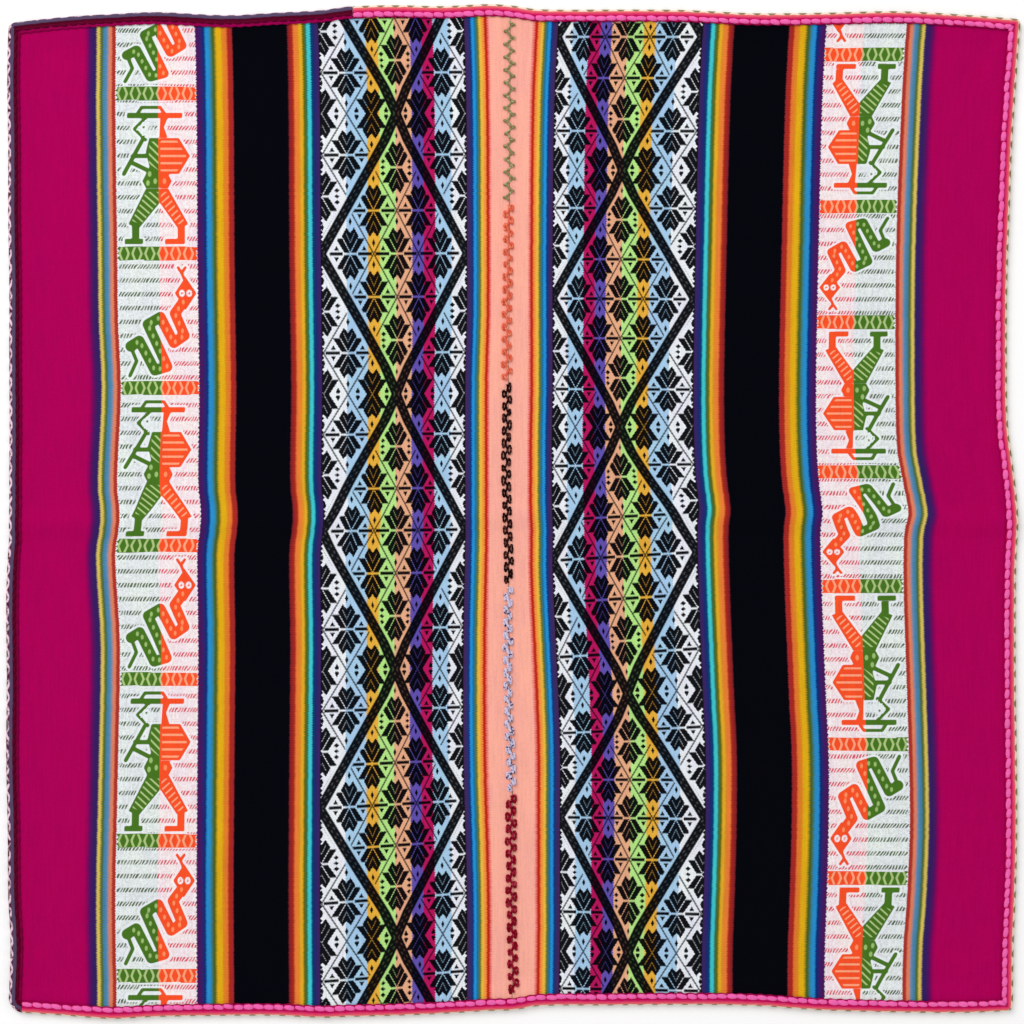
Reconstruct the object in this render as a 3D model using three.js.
// A handwoven mesa cloth, laid flat and face up, in millimetres with +Z up.
// Two loom widths lie edge to edge, a zigzag of yarn in five colours joins them, and two lengths of
// narrow tubular band, one dark and one pink, are sewn round the four edges.
// The top of the cloth, as it is looked at from above, points to +Y.
import * as THREE from 'three';

const SIDE = 560;             // the square that the whole cloth fills, edge to edge
const CLOTH = 1.6;            // thickness of the warp-faced cloth
const GAP = 0.3;              // clearance between pieces that touch

const BAND_WIDTH = 7;         // the band on the face of the cloth
const BAND_LIP = 0.8;         // thickness of the band above and below the cloth's edge
const BAND_FOLD = 1.2;        // thickness of the band outside the cloth's edge
const BAND_ROUND = 0.9;       // rounding of the band's outer corners
const DARK_END = 192;         // where the dark band gives way to the pink one on the top edge

const RISE_RUN = 12;          // the cloth climbs from the table to the band over this width
const CREASE_AT = 284;        // the fold mark, measured down from the top edge
const CREASE_HIGH = 1.2;
const CREASE_HALF = 11;

const STITCH_PITCH = 6.9;     // one zig and one zag along the seam
const STITCH_REACH = 3.3;     // sideways reach of the yarn's middle from the seam
const STITCH_YARN = 1.3;      // width of the yarn as it lies
const STITCH_THICK = 0.9;

// How far the left and right edges lie inside the square, and where the seam runs, going down.
const SIDES = [
  { down: 0, left: 1.2, seam: 278.2, right: 0.0 },
  { down: 31, left: 0.6, seam: 278.1, right: 2.2 },
  { down: 70, left: 1.1, seam: 278.0, right: 4.7 },
  { down: 108, left: 1.1, seam: 277.8, right: 6.1 },
  { down: 147, left: 1.7, seam: 277.7, right: 7.4 },
  { down: 191, left: 1.7, seam: 277.4, right: 7.7 },
  { down: 230, left: 1.9, seam: 277.1, right: 7.0 },
  { down: 252, left: 1.7, seam: 277.0, right: 4.3 },
  { down: 274, left: 1.7, seam: 276.9, right: 1.9 },
  { down: 290, left: 1.7, seam: 276.9, right: 1.7 },
  { down: 307, left: 0.6, seam: 277.0, right: 2.5 },
  { down: 329, left: 0.0, seam: 277.3, right: 2.8 },
  { down: 373, left: 0.3, seam: 278.0, right: 2.8 },
  { down: 417, left: 0.0, seam: 278.9, right: 2.2 },
  { down: 456, left: 0.8, seam: 279.6, right: 1.9 },
  { down: 494, left: 1.1, seam: 279.8, right: 2.8 },
  { down: 522, left: 2.4, seam: 279.5, right: 3.9 },
  { down: 560, left: 1.1, seam: 279.1, right: 4.4 },
];

// How far the top and bottom edges lie inside the square, going across.
const ENDS = [
  { across: 0, top: 10.5, bottom: 3.9 },
  { across: 30, top: 7.2, bottom: 1.9 },
  { across: 57, top: 5.5, bottom: 0.0 },
  { across: 83, top: 4.4, bottom: 1.1 },
  { across: 122, top: 6.1, bottom: 1.7 },
  { across: 149, top: 4.7, bottom: 1.7 },
  { across: 175, top: 3.3, bottom: 0.6 },
  { across: 189, top: 1.4, bottom: 1.1 },
  { across: 215, top: 0.6, bottom: 1.7 },
  { across: 242, top: 1.1, bottom: 2.8 },
  { across: 268, top: 0.0, bottom: 4.4 },
  { across: 281, top: 0.8, bottom: 4.8 },
  { across: 295, top: 2.8, bottom: 7.0 },
  { across: 334, top: 3.0, bottom: 7.4 },
  { across: 374, top: 3.2, bottom: 7.7 },
  { across: 414, top: 5.0, bottom: 7.2 },
  { across: 453, top: 4.7, bottom: 4.7 },
  { across: 493, top: 3.9, bottom: 3.6 },
  { across: 533, top: 6.1, bottom: 3.3 },
  { across: 560, top: 8.3, bottom: 4.4 },
];

// How round each corner is.
const CORNERS = [
  { right: false, bottom: false, radius: 4.0 },
  { right: true, bottom: false, radius: 3.0 },
  { right: true, bottom: true, radius: 3.5 },
  { right: false, bottom: true, radius: 8.5 },
];

// The yarns of the seam, from the top edge down.
const STITCHES = [
  { name: 'seam_green', from: 8, to: 110, color: 0x5f8c4b },
  { name: 'seam_coral', from: 110, to: 210, color: 0xf56e4b },
  { name: 'seam_black', from: 210, to: 323, color: 0x281419 },
  { name: 'seam_periwinkle', from: 323, to: 439, color: 0x828cc8 },
  { name: 'seam_burgundy', from: 439, to: 551, color: 0x960a32 },
];

// A smooth reading of one column of a table between its rows.
function read(table, key, column, at) {
  const last = table.length - 1;
  let i = 0;
  while (i < last - 1 && at > table[i + 1][key]) i += 1;
  const [a, b] = [table[i], table[i + 1]];
  const slope = (low, high) => (high[column] - low[column]) / (high[key] - low[key]);
  const [before, after] = [table[Math.max(i - 1, 0)], table[Math.min(i + 2, last)]];
  const step = b[key] - a[key];
  const f = THREE.MathUtils.clamp((at - a[key]) / step, 0, 1);
  const [m0, m1] = [slope(before, b) * step, slope(a, after) * step];
  const [f2, f3] = [f * f, f * f * f];
  return a[column] * (2 * f3 - 3 * f2 + 1) + m0 * (f3 - 2 * f2 + f)
    + b[column] * (3 * f2 - 2 * f3) + m1 * (f3 - f2);
}

const smooth = (f) => THREE.MathUtils.smoothstep(f, 0, 1);

// The fold mark lifts everything that lies across it by the same amount.
const creaseLift = (down) => CREASE_HIGH * smooth(1 - Math.abs(down - CREASE_AT) / CREASE_HALF);

// Near a corner the square rings that run round the cloth are turned into round ones.
function rounded(across, down) {
  for (const { right, bottom, radius } of CORNERS) {
    const du = radius - (right ? SIDE - across : across);
    const dv = radius - (bottom ? SIDE - down : down);
    if (du > 0 && dv > 0) {
      const shrink = Math.max(du, dv) / Math.hypot(du, dv);
      const [u, v] = [radius - du * shrink, radius - dv * shrink];
      return [right ? SIDE - u : u, bottom ? SIDE - v : v];
    }
  }
  return [across, down];
}

// The loom square to the table: its coordinates run 0 to SIDE over the straight cloth, and the
// result is where that point lies on the table, with the square's middle at the origin.
function place(squareAcross, squareDown) {
  const [across, down] = rounded(squareAcross, squareDown);
  const left = read(SIDES, 'down', 'left', down);
  const seam = read(SIDES, 'down', 'seam', down);
  const right = SIDE - read(SIDES, 'down', 'right', down);
  const half = SIDE / 2;
  const x = across < half
    ? THREE.MathUtils.lerp(left, seam, across / half)
    : THREE.MathUtils.lerp(seam, right, across / half - 1);
  const top = read(ENDS, 'across', 'top', across);
  const bottom = SIDE - read(ENDS, 'across', 'bottom', across);
  const y = THREE.MathUtils.lerp(top, bottom, down / SIDE);
  return new THREE.Vector2(x - half, half - y);
}

// Moves each vertex of a straight geometry to where the cloth really lies.
function lay(geometry, move) {
  const position = geometry.getAttribute('position');
  for (let i = 0; i < position.count; i += 1) {
    const point = move(position.getX(i), position.getY(i), position.getZ(i));
    position.setXYZ(i, point.x, point.y, point.z);
  }
  geometry.computeVertexNormals();
  return geometry;
}

function named(name, geometry, color, roughness = 0.95) {
  const mesh = new THREE.Mesh(geometry, new THREE.MeshStandardMaterial({ color, roughness, metalness: 0 }));
  mesh.name = name;
  return mesh;
}

// Grid lines of a cloth: close together on the climb to a band and over the crease, wide elsewhere.
const EDGE = BAND_FOLD + GAP;
const climb = [EDGE, BAND_WIDTH + 1, ...[0.25, 0.5, 0.75, 1].map((f) => BAND_WIDTH + 1 + f * RISE_RUN)];
const mirrored = (stops) => stops.map((stop) => SIDE - stop).reverse();
const spread = (from, to, count) =>
  Array.from({ length: count }, (_, i) => from + ((to - from) * (i + 1)) / (count + 1));
const creaseRows = spread(CREASE_AT - CREASE_HALF * 1.2, CREASE_AT + CREASE_HALF * 1.2, 9);
const ROWS = [
  ...climb,
  ...spread(climb.at(-1), creaseRows[0], 9), ...creaseRows,
  ...spread(creaseRows.at(-1), SIDE - climb.at(-1), 9),
  ...mirrored(climb),
];
const between = (stops, from, to) => stops.filter((stop) => stop > from && stop < to);
const halfway = (stops) => stops.slice(1).map((stop, i) => (stop + stops[i]) / 2);
const bends = ENDS.map((row) => row.across);
const acrossStops = [...bends, ...halfway(bends)].sort((a, b) => a - b);
const COLUMNS_LEFT = [
  ...climb, ...between(acrossStops, climb.at(-1) + 3, SIDE / 2 - 3), (SIDE - GAP) / 2,
];
const COLUMNS_RIGHT = [
  (SIDE + GAP) / 2, ...between(acrossStops, SIDE / 2 + 3, SIDE - climb.at(-1) - 3), ...mirrored(climb),
];

// The cloth's underside is on the table, and climbs to lie inside the band at the three bound edges.
function underside(across, down) {
  const inside = Math.min(across, SIDE - across, down, SIDE - down);
  const climbed = smooth(1 - (inside - BAND_WIDTH - 1) / RISE_RUN);
  return (BAND_LIP + GAP) * climbed + creaseLift(down);
}

function panel(name, columns, color) {
  const box = new THREE.BoxGeometry(
    columns.length - 1, ROWS.length - 1, 1, columns.length - 1, ROWS.length - 1, 1);
  return named(name, lay(box, (x, y, z) => {
    const across = columns[Math.round(x + (columns.length - 1) / 2)];
    const down = ROWS[Math.round((ROWS.length - 1) / 2 - y)];
    const at = place(across, down);
    return new THREE.Vector3(at.x, at.y, underside(across, down) + (z > 0 ? CLOTH : 0));
  }), color);
}

// The band's section: x is the distance in from the outer edge and y is the height.
function bandSection() {
  const high = 2 * (BAND_LIP + GAP) + CLOTH;
  const [w, r] = [BAND_WIDTH, BAND_ROUND];
  const section = new THREE.Shape();
  section.moveTo(w, 0);
  section.lineTo(w, BAND_LIP);
  section.lineTo(BAND_FOLD, BAND_LIP);
  section.lineTo(BAND_FOLD, high - BAND_LIP);
  section.lineTo(w, high - BAND_LIP);
  section.lineTo(w, high);
  section.lineTo(r, high);
  section.quadraticCurveTo(0, high, 0, high - r);
  section.lineTo(0, r);
  section.quadraticCurveTo(0, 0, r, 0);
  return section;
}

// A run of band along one edge. Its ends are mitred where miter is 1 and square where it is 0.
function band(name, edge, from, to, miterFrom, miterTo, color) {
  const upright = edge === 'left' || edge === 'right';
  const grid = upright ? ROWS : [...COLUMNS_LEFT, ...COLUMNS_RIGHT.slice(1)];
  const inner = between(grid, from + BAND_WIDTH * miterFrom + 1, to - BAND_WIDTH * miterTo - 1);
  // Extra stops at each mitred end follow the round corner.
  const turn = [0.25, 0.5, 0.75];
  const stopsAt = (inward) => {
    const [start, end] = [from + miterFrom * inward, to - miterTo * inward];
    return [
      start, ...(miterFrom ? turn.map((f) => THREE.MathUtils.lerp(start, inner[0], f)) : []), ...inner,
      ...(miterTo ? turn.map((f) => THREE.MathUtils.lerp(inner.at(-1), end, f)) : []), end,
    ];
  };
  const steps = stopsAt(0).length - 1;
  const body = new THREE.ExtrudeGeometry(bandSection(), {
    depth: steps, steps, bevelEnabled: false, curveSegments: 3,
  });
  // Every run is laid anticlockwise round the cloth, which keeps its faces pointing out.
  const backwards = edge === 'right' || edge === 'top';
  return named(name, lay(body, (inward, height, at) => {
    const along = stopsAt(inward)[backwards ? steps - Math.round(at) : Math.round(at)];
    const [across, down] = {
      left: [inward, along], right: [SIDE - inward, along],
      top: [along, inward], bottom: [along, SIDE - inward],
    }[edge];
    const spot = place(across, down);
    return new THREE.Vector3(spot.x, spot.y, height + creaseLift(down));
  }), color);
}

// One yarn of the seam, a flat zigzag that lies just above both cloths. Its box has a row of
// vertices at each turn, and every other row is moved across the seam.
function zigzag({ name, from, to, color }) {
  const turns = Math.round((to - from - GAP) / (STITCH_PITCH / 2));
  const step = (to - from - GAP) / turns;
  const wide = STITCH_YARN * Math.hypot(1, step / (2 * STITCH_REACH));
  const body = new THREE.BoxGeometry(wide, turns, STITCH_THICK, 1, turns, 1);
  return named(name, lay(body, (x, y, z) => {
    const turn = Math.round(turns / 2 - y);
    const sideways = x + (turn % 2 ? STITCH_REACH : -STITCH_REACH);
    const down = from + turn * step;
    const spot = place(SIDE / 2, down);
    const height = underside(SIDE / 2, down) + CLOTH + GAP + STITCH_THICK / 2 + z;
    return new THREE.Vector3(spot.x + sideways, spot.y, height);
  }), color);
}

const cloth = new THREE.Group();
cloth.add(panel('panel_left', COLUMNS_LEFT, 0xa8005a));
cloth.add(panel('panel_right', COLUMNS_RIGHT, 0xa8005a));

const CORNER = GAP / Math.SQRT2;
const DARK = 0x40203a;
const PINK = 0xd83a80;
cloth.add(band('band_dark_left', 'left', CORNER, SIDE - CORNER, 1, 1, DARK));
cloth.add(band('band_dark_top', 'top', CORNER, DARK_END, 1, 0, DARK));
cloth.add(band('band_pink_top', 'top', DARK_END + GAP, SIDE - CORNER, 0, 1, PINK));
cloth.add(band('band_pink_right', 'right', CORNER, SIDE - CORNER, 1, 1, PINK));
cloth.add(band('band_pink_bottom', 'bottom', CORNER, SIDE - CORNER, 1, 1, PINK));
STITCHES.forEach((stitch) => cloth.add(zigzag(stitch)));

export default cloth;
